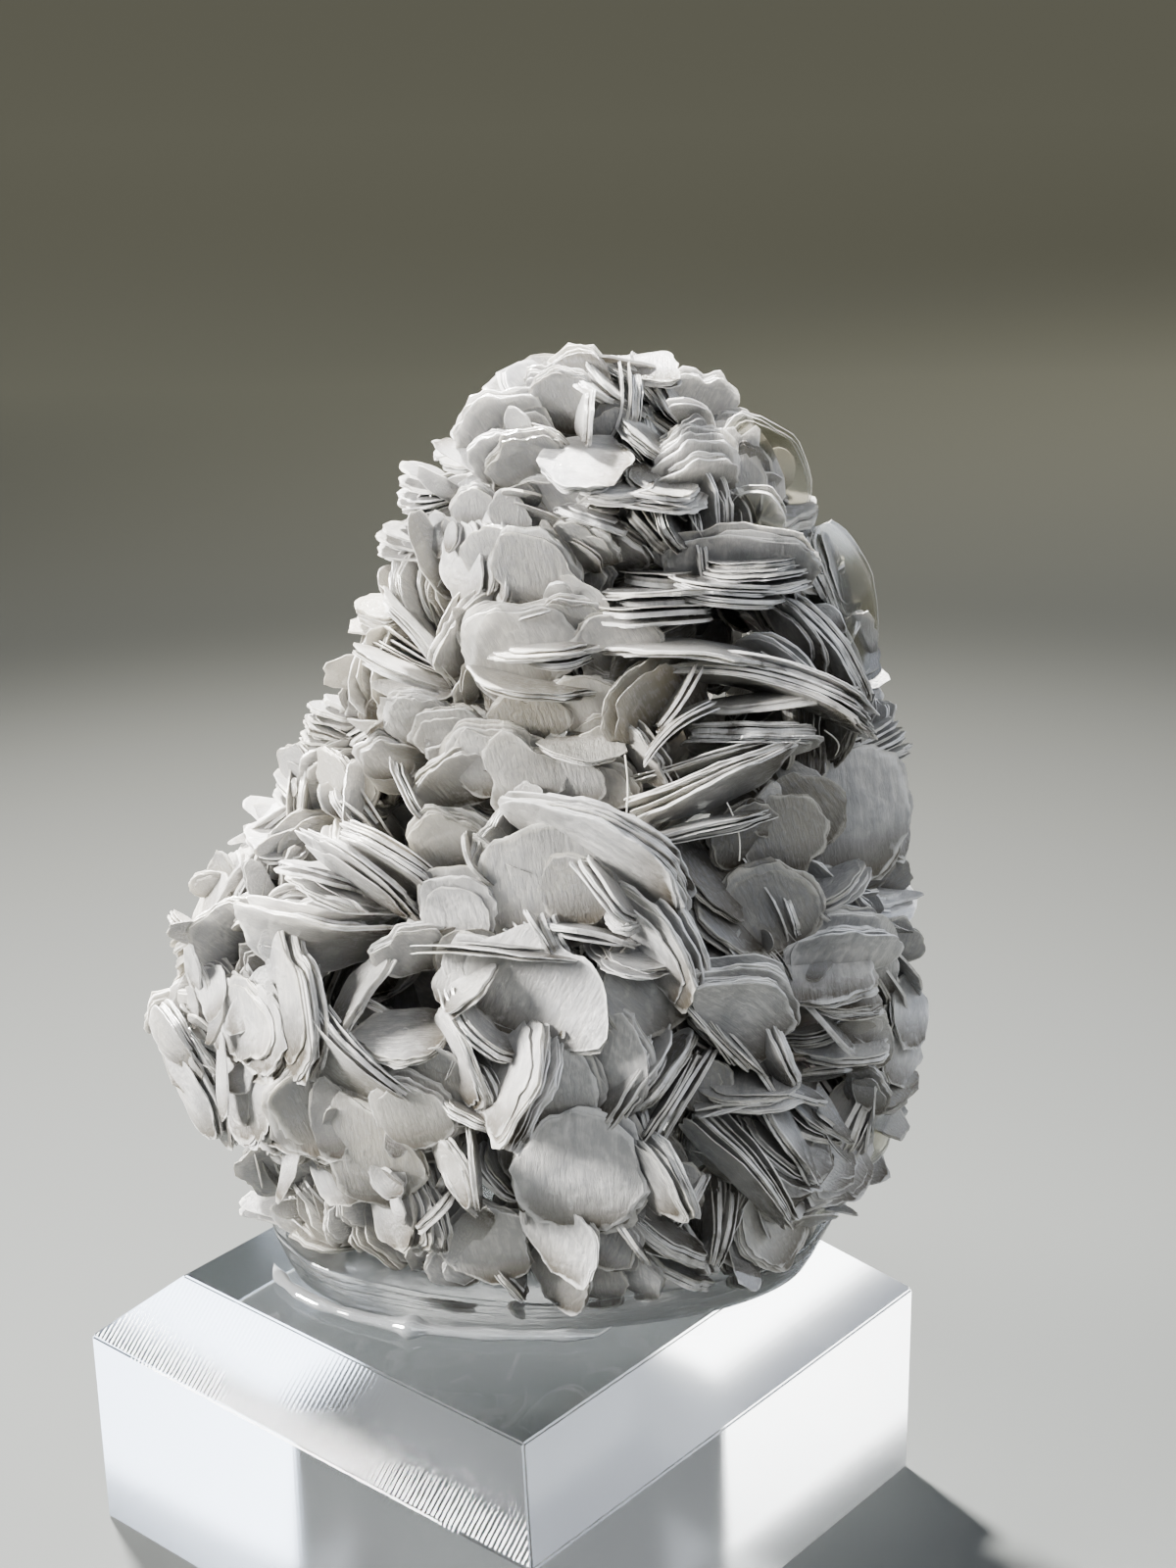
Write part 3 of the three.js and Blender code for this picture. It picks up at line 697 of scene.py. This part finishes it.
def add_book(plates, centre, normal, tip, radius, leaves, fan, pitch, long, tone, count, wear=1.0):
    """A book round a centre: packets of leaves grown tight, which open about the root by fan degrees each."""
    normal = normal / np.linalg.norm(normal)
    tip = tip - normal * (tip @ normal)
    tip /= np.linalg.norm(tip)
    side = np.cross(normal, tip)
    root = -0.8 * radius * long
    turn = np.linspace(0, 2 * math.pi, count, endpoint=False)
    outline = worn_outline(turn, wear) * radius
    cup, bend = rng.uniform(-0.07, 0.04), rng.normal(0, 0.06)
    warp, warp_at = rng.normal(0, 0.05), rng.uniform(0, 6.3)
    height = -leaves * pitch / 2
    while leaves > 0:
        packet = int(min(leaves, rng.integers(1, MOST_IN_PACKET + 1)))
        leaves -= packet
        edges = outline * torn_rims(turn, packet, wear) * (1.04 - wear * min(0.45, rng.exponential(0.11)))
        thick = pitch * rng.uniform(0.5, 1.5)
        steps = height + np.repeat(np.arange(packet + 1), 2)[1:-1] * thick
        r = np.concatenate([[0], edges[-1, ::2] * INNER_RING, np.repeat(edges, 2, axis=0)[::-1].ravel(),
                            [0], edges[0, ::2] * INNER_RING])
        a = np.concatenate([[0], turn[::2] + math.pi / count, np.tile(turn, 2 * packet),
                            [0], turn[::2] + math.pi / count])
        inner = 1 + count // 2
        z = np.concatenate([np.full(inner, steps[-1]), np.repeat(steps[::-1], count),
                            np.full(inner, steps[0])])
        shift = rng.normal(0, 0.045, 2) * radius
        x = r * np.cos(a) * long + shift[0]
        y = r * np.sin(a) + shift[1]
        q = r / radius
        z = z + radius * (cup * q ** 2 + bend * (x / radius) ** 2 + warp * q ** 2 * np.cos(2 * a + warp_at)
                          + rng.normal(0, 0.006) * q ** 3 * np.cos(5 * a + rng.uniform(0, 6.3)))
        opening = math.radians(fan * height / pitch + rng.normal(0, 0.3 * abs(fan) + 0.7))
        out = x - root
        local = np.stack([root + out * math.cos(opening) - z * math.sin(opening), y,
                          out * math.sin(opening) + z * math.cos(opening)], 1)
        points = centre + local[:, :1] * tip + local[:, 1:2] * side + local[:, 2:] * normal
        rim = np.concatenate([np.zeros(inner), np.ones(2 * packet * count), np.zeros(inner)])
        streak = np.repeat(rng.uniform(-0.35, 0.35, packet), 2 * count)
        leaf_tone = tone + rng.normal(0, 0.14) + np.concatenate([np.zeros(inner), streak, np.zeros(inner)])
        grain = np.stack([x / radius, y / radius, np.full(len(x), rng.uniform(0, 50))], 1)
        plates.add(points, PACKET_FACES[count, packet], rim, np.clip(out / (1.8 * radius * long), 0, 1),
                   np.clip(leaf_tone, 0, 1), grain)
        height += packet * thick + rng.uniform(0.02, 0.09)


def plates_mesh(name, plates):
    """The gathered leaves as one mesh, with what the material reads stored on its points."""
    points = np.vstack(plates.points).astype(np.float32)
    faces = np.vstack(plates.faces).astype(np.int32)
    mesh = bpy.data.meshes.new(name)
    mesh.vertices.add(len(points))
    mesh.vertices.foreach_set("co", points.ravel())
    mesh.loops.add(faces.size)
    mesh.loops.foreach_set("vertex_index", faces.ravel())
    mesh.polygons.add(len(faces))
    mesh.polygons.foreach_set("loop_start", np.arange(0, faces.size, 3, dtype=np.int32))
    mesh.update(calc_edges=True)
    for key in ("rim", "tip", "tone"):
        layer = mesh.attributes.new(key, "FLOAT", "POINT")
        layer.data.foreach_set("value", np.concatenate(getattr(plates, key)).astype(np.float32))
    grain = mesh.attributes.new("grain", "FLOAT_VECTOR", "POINT")
    grain.data.foreach_set("vector", np.vstack(plates.grain).astype(np.float32).ravel())
    mesh.polygons.foreach_set("use_smooth", np.ones(len(faces), dtype=bool))
    mesh.set_sharp_from_angle(angle=math.radians(50))
    return mesh


def mica_material():
    # Muscovite as it grew: pearly off-white plates with white torn rims, whiter in flecks as painted glints;
    # towards the root each plate is darkened to brown-grey, painted shade where it runs in among the others.
    material, tree, output = new_material("muscovite_plate_as_grown")
    rim = add_node(tree, "ShaderNodeAttribute", {"attribute_name": "rim"})
    tip = add_node(tree, "ShaderNodeAttribute", {"attribute_name": "tip"})
    tone = add_node(tree, "ShaderNodeAttribute", {"attribute_name": "tone"})
    grain = add_node(tree, "ShaderNodeAttribute", {"attribute_name": "grain"})
    along = add_node(tree, "ShaderNodeMapping", {"Scale": (2.3, 11.0, 1.0)}, Vector=grain.outputs["Vector"])
    fibre = add_node(tree, "ShaderNodeTexNoise", {"Scale": 1.0, "Detail": 9.0, "Roughness": 0.7},
                     Vector=along.outputs[0])
    steps = add_node(tree, "ShaderNodeTexWave", {"wave_type": "RINGS", "rings_direction": "Z", "Scale": 1.1,
                                                 "Distortion": 9.0, "Detail": 5.0, "Detail Scale": 2.2},
                     Vector=grain.outputs["Vector"])
    cloud = add_node(tree, "ShaderNodeMix", {"data_type": "FLOAT", 0: 0.1},
                     i2=fibre.outputs["Fac"], i3=steps.outputs["Fac"])
    body = add_node(tree, "ShaderNodeValToRGB", {}, Fac=tone.outputs["Fac"])
    body.color_ramp.elements[0].color = linear("#5d5547")
    body.color_ramp.elements[1].color = linear("#e4e2de")
    middle = body.color_ramp.elements.new(0.45)
    middle.color = linear("#a6a49e")
    stain = add_node(tree, "ShaderNodeMapRange", {1: 0.4, 2: 0.62, 3: 0.0, 4: 0.6}, Value=cloud.outputs[0])
    clouded = add_node(tree, "ShaderNodeMix", {"data_type": "RGBA", 7: linear("#86868a")},
                       i0=stain.outputs[0], i6=body.outputs["Color"])
    place = add_node(tree, "ShaderNodeTexCoord")
    zone = add_node(tree, "ShaderNodeTexNoise", {"Scale": 230.0, "Detail": 3.0},
                    Vector=place.outputs["Object"])
    clear = add_node(tree, "ShaderNodeMapRange", {1: 0.48, 2: 0.64, 3: 0.0, 4: 0.6},
                     Value=zone.outputs["Fac"])
    zoned = add_node(tree, "ShaderNodeMix", {"data_type": "RGBA", 7: linear("#828384")},
                     i0=clear.outputs[0], i6=clouded.outputs[2])
    patch = add_node(tree, "ShaderNodeTexNoise", {"Scale": 95.0, "Detail": 2.0},
                    Vector=place.outputs["Object"])
    warm = add_node(tree, "ShaderNodeMapRange", {1: 0.46, 2: 0.72, 3: 0.0, 4: 0.3},
                     Value=patch.outputs["Fac"])
    creamed = add_node(tree, "ShaderNodeMix", {"data_type": "RGBA", 7: linear("#cbbf9f")},
                       i0=warm.outputs[0], i6=zoned.outputs[2])
    # Towards the root, where it runs in among the other plates, a plate is darkened to #5a5347: painted
    # shade.
    root_shade_mask = add_node(tree, "ShaderNodeMapRange", {1: 0.0, 2: 0.4}, Value=tip.outputs["Fac"])
    root = add_node(tree, "ShaderNodeMix", {"data_type": "RGBA", 6: linear("#5a5347")},
                    i0=root_shade_mask.outputs[0], i7=creamed.outputs[2])
    torn = add_node(tree, "ShaderNodeValToRGB", {}, Fac=tone.outputs["Fac"])
    torn.color_ramp.elements[0].color = linear("#8d8982")
    torn.color_ramp.elements[1].color = linear("#fbfaf8")
    torn_middle = torn.color_ramp.elements.new(0.5)
    torn_middle.color = linear("#dcd8cc")
    # Fine noise makes the torn rims unevenly white and whiter in flecks: partly the rims' own unevenness,
    # partly painted glints.
    rim_flecks_and_glints = add_node(tree, "ShaderNodeTexNoise", {"Scale": 900.0, "Detail": 4.0},
                    Vector=place.outputs["Object"])
    start = add_node(tree, "ShaderNodeMapRange", {1: 0.35, 2: 0.65, 3: -0.3, 4: 0.95},
                     Value=rim_flecks_and_glints.outputs["Fac"])
    edge = add_node(tree, "ShaderNodeMapRange", {2: 1.35},
                    Value=rim.outputs["Fac"], From_Min=start.outputs[0])
    shade = add_node(tree, "ShaderNodeMix", {"data_type": "RGBA"},
                     i0=edge.outputs[0], i6=root.outputs[2], i7=torn.outputs["Color"])
    relief = add_node(tree, "ShaderNodeBump", {"Strength": 0.9, "Distance": 0.0002},
                      Height=cloud.outputs[0])
    pearl = add_node(tree, "ShaderNodeMapRange", {1: 0.35, 2: 0.65, 3: 0.1, 4: 0.36}, Value=cloud.outputs[0])
    skin = add_node(tree, "ShaderNodeBsdfPrincipled", {"IOR": 1.58, "Specular IOR Level": 0.8,
                                                          "Coat Weight": 0.8, "Coat Roughness": 0.05},
                    Base_Color=shade.outputs[2], Roughness=pearl.outputs[0], Normal=relief.outputs["Normal"])
    glow = add_node(tree, "ShaderNodeBsdfTranslucent", {}, Color=shade.outputs[2],
                    Normal=relief.outputs["Normal"])
    both = add_node(tree, "ShaderNodeMixShader", {0: 0.36}, i1=skin.outputs[0], i2=glow.outputs[0])
    tree.links.new(both.outputs[0], output.inputs["Surface"])
    return material


def face_lean(facing, lean, point_to):
    """The way a face leans: a plate seen nearly face-on stands out at its tip, so it leans away from it."""
    if facing > FACE_ON:
        return lean
    return point_to + 180 + np.clip(((lean - point_to) % 360 - 180) / 4, -25, 25)


mica = mica_material()
GROUPS = {"mica_crown": CROWN_BOOKS, "mica_upper": UPPER_BOOKS, "mica_middle": MIDDLE_BOOKS,
          "mica_left": LEFT_BOOKS, "mica_centre": CENTRE_BOOKS, "mica_right": RIGHT_BOOKS,
          "mica_base": BASE_BOOKS}
groups = {name: Plates() for name in [*GROUPS, "mica_back_upper", "mica_back_lower"]}
placed_books = []


def add_seen_book(plates, row, wear=1.0):
    """A book from its row in the front view; gives back where it stands, for what grows round it."""
    across, above, radius, long, facing, lean, point_to, leaves, proud, tone, *fan = row
    point, right_way, up_way, to_eye = seen_at(across, above)
    lean = math.radians(face_lean(facing, lean, point_to))
    facing, point_to = math.radians(facing), math.radians(point_to)
    normal = (math.cos(facing) * to_eye
              + math.sin(facing) * (math.cos(lean) * right_way + math.sin(lean) * up_way))
    tip = math.cos(point_to) * right_way + math.sin(point_to) * up_way
    centre = point + to_eye * proud
    opening = (fan[0] if fan else rng.uniform(-0.3, 0.8)) / LEAVES_SHARE
    add_book(plates, centre, normal, tip, radius, int(LEAVES_SHARE * leaves), opening,
             rng.uniform(0.05, 0.085), long, tone, PLACED_POINTS, wear)
    return centre, normal, tip, tone


for name, books in GROUPS.items():
    for row in books:
        centre, normal, tip, tone = add_seen_book(groups[name], row)
        placed_books.append((centre, normal, tip, name, tone))

hollows = [(seen_at(across, above)[0], 1.45 * radius) for across, above, radius in HOLLOWS]
centres = []
for _ in range(9000):
    point, out = on_body(rng.uniform(0, 2 * math.pi), rng.uniform(3, 57))
    if all(np.linalg.norm(point - c[0]) > FILLER_SPACING for c in centres):
        centres.append((point, out))
rosettes = []
for point, out in centres:
    if all(np.linalg.norm(point - c[0]) > 8.5 for c in rosettes):
        rosettes.append((point - out * 4, out))
for point, out in centres:
    if any(np.linalg.norm(point - c) < radius for c, radius in hollows):
        continue
    radius = rng.uniform(1.5, 2.9)
    to_eye = (EYE - point) / np.linalg.norm(EYE - point)
    nearest = min(placed_books, key=lambda book: np.linalg.norm(point - book[0]))
    if out @ to_eye > 0.15 and np.linalg.norm(point - nearest[0]) < 6:
        normal = nearest[1] + rng.normal(0, 0.22, 3)
        tip = nearest[2] + rng.normal(0, 0.25, 3)
        centre = point - out * rng.uniform(0.8, 1.9)
        name = nearest[3]
        # A filler here sits deeper than the book it follows and is made darker than it: painted shade.
        tone = nearest[4] - 0.2
    else:
        heart, axis = min(rosettes, key=lambda c: np.linalg.norm(point - c[0]))
        away = point - heart
        away -= axis * (away @ axis)
        distance = np.linalg.norm(away)
        away = away / distance if distance > 0.5 else np.cross(axis, rng.normal(size=3))
        away /= np.linalg.norm(away)
        steep = math.radians(np.interp(distance, [0, 6], [82, 42]) + rng.normal(0, 12))
        normal = math.cos(steep) * axis + math.sin(steep) * away + rng.normal(0, 0.18, 3)
        tip = out + 0.3 * away + rng.normal(0, 0.15, 3)
        centre = point - out * radius * 0.3
        name = "mica_back_upper" if point[2] > 26 else "mica_back_lower"
        tone = rng.uniform(0.45, 0.95)
        radius *= 1.15
    add_book(groups[name], centre, normal, tip, radius, int(rng.integers(5, 9)), rng.uniform(0, 2.5),
             rng.uniform(0.06, 0.13), rng.uniform(0.95, 1.3), tone, FILLER_POINTS)
for _ in range(SMALL_FLAKES):
    point, out = on_body(rng.uniform(0, 2 * math.pi), rng.uniform(4, 55))
    if any(np.linalg.norm(point - c) < radius for c, radius in hollows):
        continue
    nearest = min(placed_books, key=lambda book: np.linalg.norm(point - book[0]))
    behind = np.linalg.norm(point - nearest[0]) > 6
    name = ("mica_back_upper" if point[2] > 26 else "mica_back_lower") if behind else nearest[3]
    normal, tip = (rng.normal(size=3), out) if behind else nearest[1:3]
    add_book(groups[name], point + out * rng.uniform(-0.2, 1.4), normal + rng.normal(0, 0.3, 3),
             tip + rng.normal(0, 0.5, 3), rng.uniform(0.4, 1.4), int(rng.integers(1, 4)),
             rng.uniform(0, 3), rng.uniform(0.04, 0.07), rng.uniform(1.0, 2.6), rng.uniform(0.4, 1.0),
             FILLER_POINTS)
for name, plates in groups.items():
    piece = add_piece(name, plates_mesh(name, plates))
    piece.data.materials.append(mica)
    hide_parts("mica_cluster")


# ---- Clear mica plates ----
# The real pieces are a few plates at the right edge that grew clean: as clear as window glass, thin,
# slightly yellow, and bright only along their rims. They are part of the same growth.

# Rows as for the books above.
CLEAR_BOOKS = [
    (11.6, 19.4, 2.9, 1.5, 34, 20, 118, 5, 1.5, 0.9),
    (17.1, 12.1, 3.0, 1.5, 66, 18, 112, 6, 0.4, 0.9),
    (10.8, 17.2, 1.7, 1.0, 25, 300, 60, 4, 1.2, 0.6),
    (16.4, -25.0, 2.4, 1.4, 62, 330, 62, 6, 0.9, 0.9),
    (14.2, -27.6, 2.2, 1.3, 58, 310, 50, 5, 0.9, 0.9),
    (18.6, -21.6, 2.0, 1.4, 66, 345, 72, 5, 0.7, 0.9),
]


def clear_mica_material():
    # Clean muscovite: see-through and faintly yellow, with a glassy shine that turns white at the torn rim.
    material, tree, output = new_material("muscovite_plate_clear")
    rim = add_node(tree, "ShaderNodeAttribute", {"attribute_name": "rim"})
    clear = add_node(tree, "ShaderNodeBsdfPrincipled", {
        "Base Color": linear("#ecebe4"), "Roughness": 0.1, "IOR": 1.58, "Transmission Weight": 1.0})
    torn = add_node(tree, "ShaderNodeBsdfPrincipled", {
        "Base Color": linear("#dedcd6"), "Roughness": 0.35, "IOR": 1.58})
    edge = add_node(tree, "ShaderNodeMapRange", {1: 0.8, 2: 1.0, 3: 0.0, 4: 0.6}, Value=rim.outputs["Fac"])
    both = add_node(tree, "ShaderNodeMixShader", {},
                    i0=edge.outputs[0], i1=clear.outputs[0], i2=torn.outputs[0])
    tree.links.new(both.outputs[0], output.inputs["Surface"])
    return material


clear_plates = Plates()
for row in CLEAR_BOOKS:
    add_seen_book(clear_plates, row, wear=0.35)
clear_piece = add_piece("mica_clear_plates", plates_mesh("mica_clear_plates", clear_plates))
clear_piece.data.materials.append(clear_mica_material())
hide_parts("mica_cluster")


# ---- Stray fibres ----
# The real pieces are a few hair-thin pale fibres caught between the plates; dust, left where it lies.

# Each row: the two ends in the front view (mm right, mm up), the sag to the side and mm proud.
FIBRES = [
    ((2.4, 1.9), (2.3, -3.2), 0.2, 3.0),
    ((16.3, 6.7), (17.2, 4.8), 0.6, 2.4),
    ((15.3, 3.5), (16.0, 1.8), 0.5, 2.6),
    ((0.8, -6.7), (2.5, -9.2), 0.4, 3.2),
    ((9.0, -1.2), (9.8, -5.0), 0.3, 3.0),
]
FIBRE_RADIUS = 0.045


def fibre_rings(start, end, sag, proud):
    """Rings along a fibre that hangs between two places on the cluster."""
    share = np.linspace(0, 1, 18)
    ends = []
    for across, above in (start, end):
        point, right_way, up_way, to_eye = seen_at(across, above)
        ends.append(point + to_eye * proud)
    path = ends[0] + share[:, None] * (ends[1] - ends[0]) + sag * np.sin(math.pi * share)[:, None] * right_way
    turn = np.linspace(0, 2 * math.pi, 6, endpoint=False)
    across_way = np.cross(ends[1] - ends[0], to_eye)
    across_way /= np.linalg.norm(across_way)
    return [[p + FIBRE_RADIUS * (across_way * math.cos(a) + to_eye * math.sin(a)) for a in turn]
            for p in path]


def fibre_material():
    # Fine bleached fibre: matt and nearly white, seen as a hairline against the hollows.
    material, tree, output = new_material("textile_fibre_bleached")
    skin = add_node(tree, "ShaderNodeBsdfPrincipled", {
        "Base Color": linear("#d9d5c8"), "Roughness": 0.6, "IOR": 1.5})
    tree.links.new(skin.outputs[0], output.inputs["Surface"])
    return material


bleached = fibre_material()
for number, row in enumerate(FIBRES):
    fibre = add_piece(f"stray_fibre_{number}", loft_mesh(f"stray_fibre_{number}", fibre_rings(*row)))
    fibre.data.materials.append(bleached)
    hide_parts("mica_cluster")


# ---- Studio ----
# A matt floor, its colour graded from grey to dim olive far back as painted light and shade, a strong soft
# lamp at the left, a small one high behind for the rims, and weaker soft ones at the right and in front.

def floor_material():
    # Matt paper, its colour graded with depth as painted light and shade. Its dark grey, painted against the
    # lamps' pool of light, looks pale where the lamps reach it, round the specimen; just behind that it is
    # painted darkest, as shade, and far back it turns to a lighter olive, painted light where the lamps give
    # little. A faint glow of its own, painted light, stands for the light of a room.
    material, tree, output = new_material("studio_paper_painted_light_and_shade")
    place = add_node(tree, "ShaderNodeTexCoord")
    away = add_node(tree, "ShaderNodeMapping", {"Rotation": (0, 0, -SPECIMEN_TURN)},
                    Vector=place.outputs["Object"])
    depth = add_node(tree, "ShaderNodeSeparateXYZ", {}, Vector=away.outputs[0])
    fall = add_node(tree, "ShaderNodeMapRange", {1: -0.05, 2: 0.75}, Value=depth.outputs["Y"])
    shade = add_node(tree, "ShaderNodeValToRGB", {}, Fac=fall.outputs[0])
    shade.color_ramp.interpolation = "B_SPLINE"
    shade.color_ramp.elements[0].color = linear("#343635")
    shade.color_ramp.elements[1].color = linear("#98957f")
    for share, colour in ((0.1, "#313331"), (0.2, "#2b2c29"), (0.34, "#3b3b34"), (0.5, "#7a7763")):
        shade.color_ramp.elements.new(share).color = linear(colour)
    # The emission makes the floor glow a little: painted light.
    skin = add_node(tree, "ShaderNodeBsdfPrincipled", {"Roughness": 0.9, "Emission Strength": 0.16},
                    Base_Color=shade.outputs["Color"], Emission_Color=shade.outputs["Color"])
    tree.links.new(skin.outputs[0], output.inputs["Surface"])
    return material


FLOOR_LEVEL = -0.05 * MM  # the block stands a hair above the paper, so that light gets in under it
floor_data = bpy.data.meshes.new("studio_floor")
floor_corners = [(x, y, FLOOR_LEVEL) for x, y in ((-3, -3), (3, -3), (3, 3), (-3, 3))]
floor_data.from_pydata(floor_corners, [], [(0, 1, 2, 3)])
floor = bpy.data.objects.new("studio_floor", floor_data)
bpy.context.scene.collection.objects.link(floor)
floor.data.materials.append(floor_material())


def soft_lamp(name, where, towards, size, power, colour, spread):
    """A round soft lamp; a small spread keeps its light off the far floor."""
    lamp = bpy.data.lights.new(name, "AREA")
    lamp.shape = "DISK"
    lamp.size = size
    lamp.energy = power
    lamp.color = linear(colour)[:3]
    lamp.spread = math.radians(spread)
    item = bpy.data.objects.new(name, lamp)
    bpy.context.scene.collection.objects.link(item)
    item.location = where
    item.rotation_euler = (Vector(towards) - Vector(where)).to_track_quat("-Z", "Y").to_euler()


SPECIMEN_MIDDLE = placed((3, 0, 27))
soft_lamp("key_lamp", placed((-420, -60, 205)), SPECIMEN_MIDDLE, 0.19, 3.0, "#fffdfa", 64)
soft_lamp("rim_lamp", placed((-130, 220, 400)), SPECIMEN_MIDDLE, 0.05, 3.5, "#fffdfa", 50)
soft_lamp("right_lamp", placed((420, 60, 300)), SPECIMEN_MIDDLE, 0.6, 1.1, "#e6efff", 64)
soft_lamp("front_lamp", placed((120, -400, 360)), SPECIMEN_MIDDLE, 0.5, 0.42, "#f4f8ff", 50)
world = bpy.data.worlds.new("studio")
bpy.context.scene.world = world
world.use_nodes = True
world.node_tree.nodes["Background"].inputs[0].default_value = linear("#b4b7b8")
world.node_tree.nodes["Background"].inputs[1].default_value = 0.42
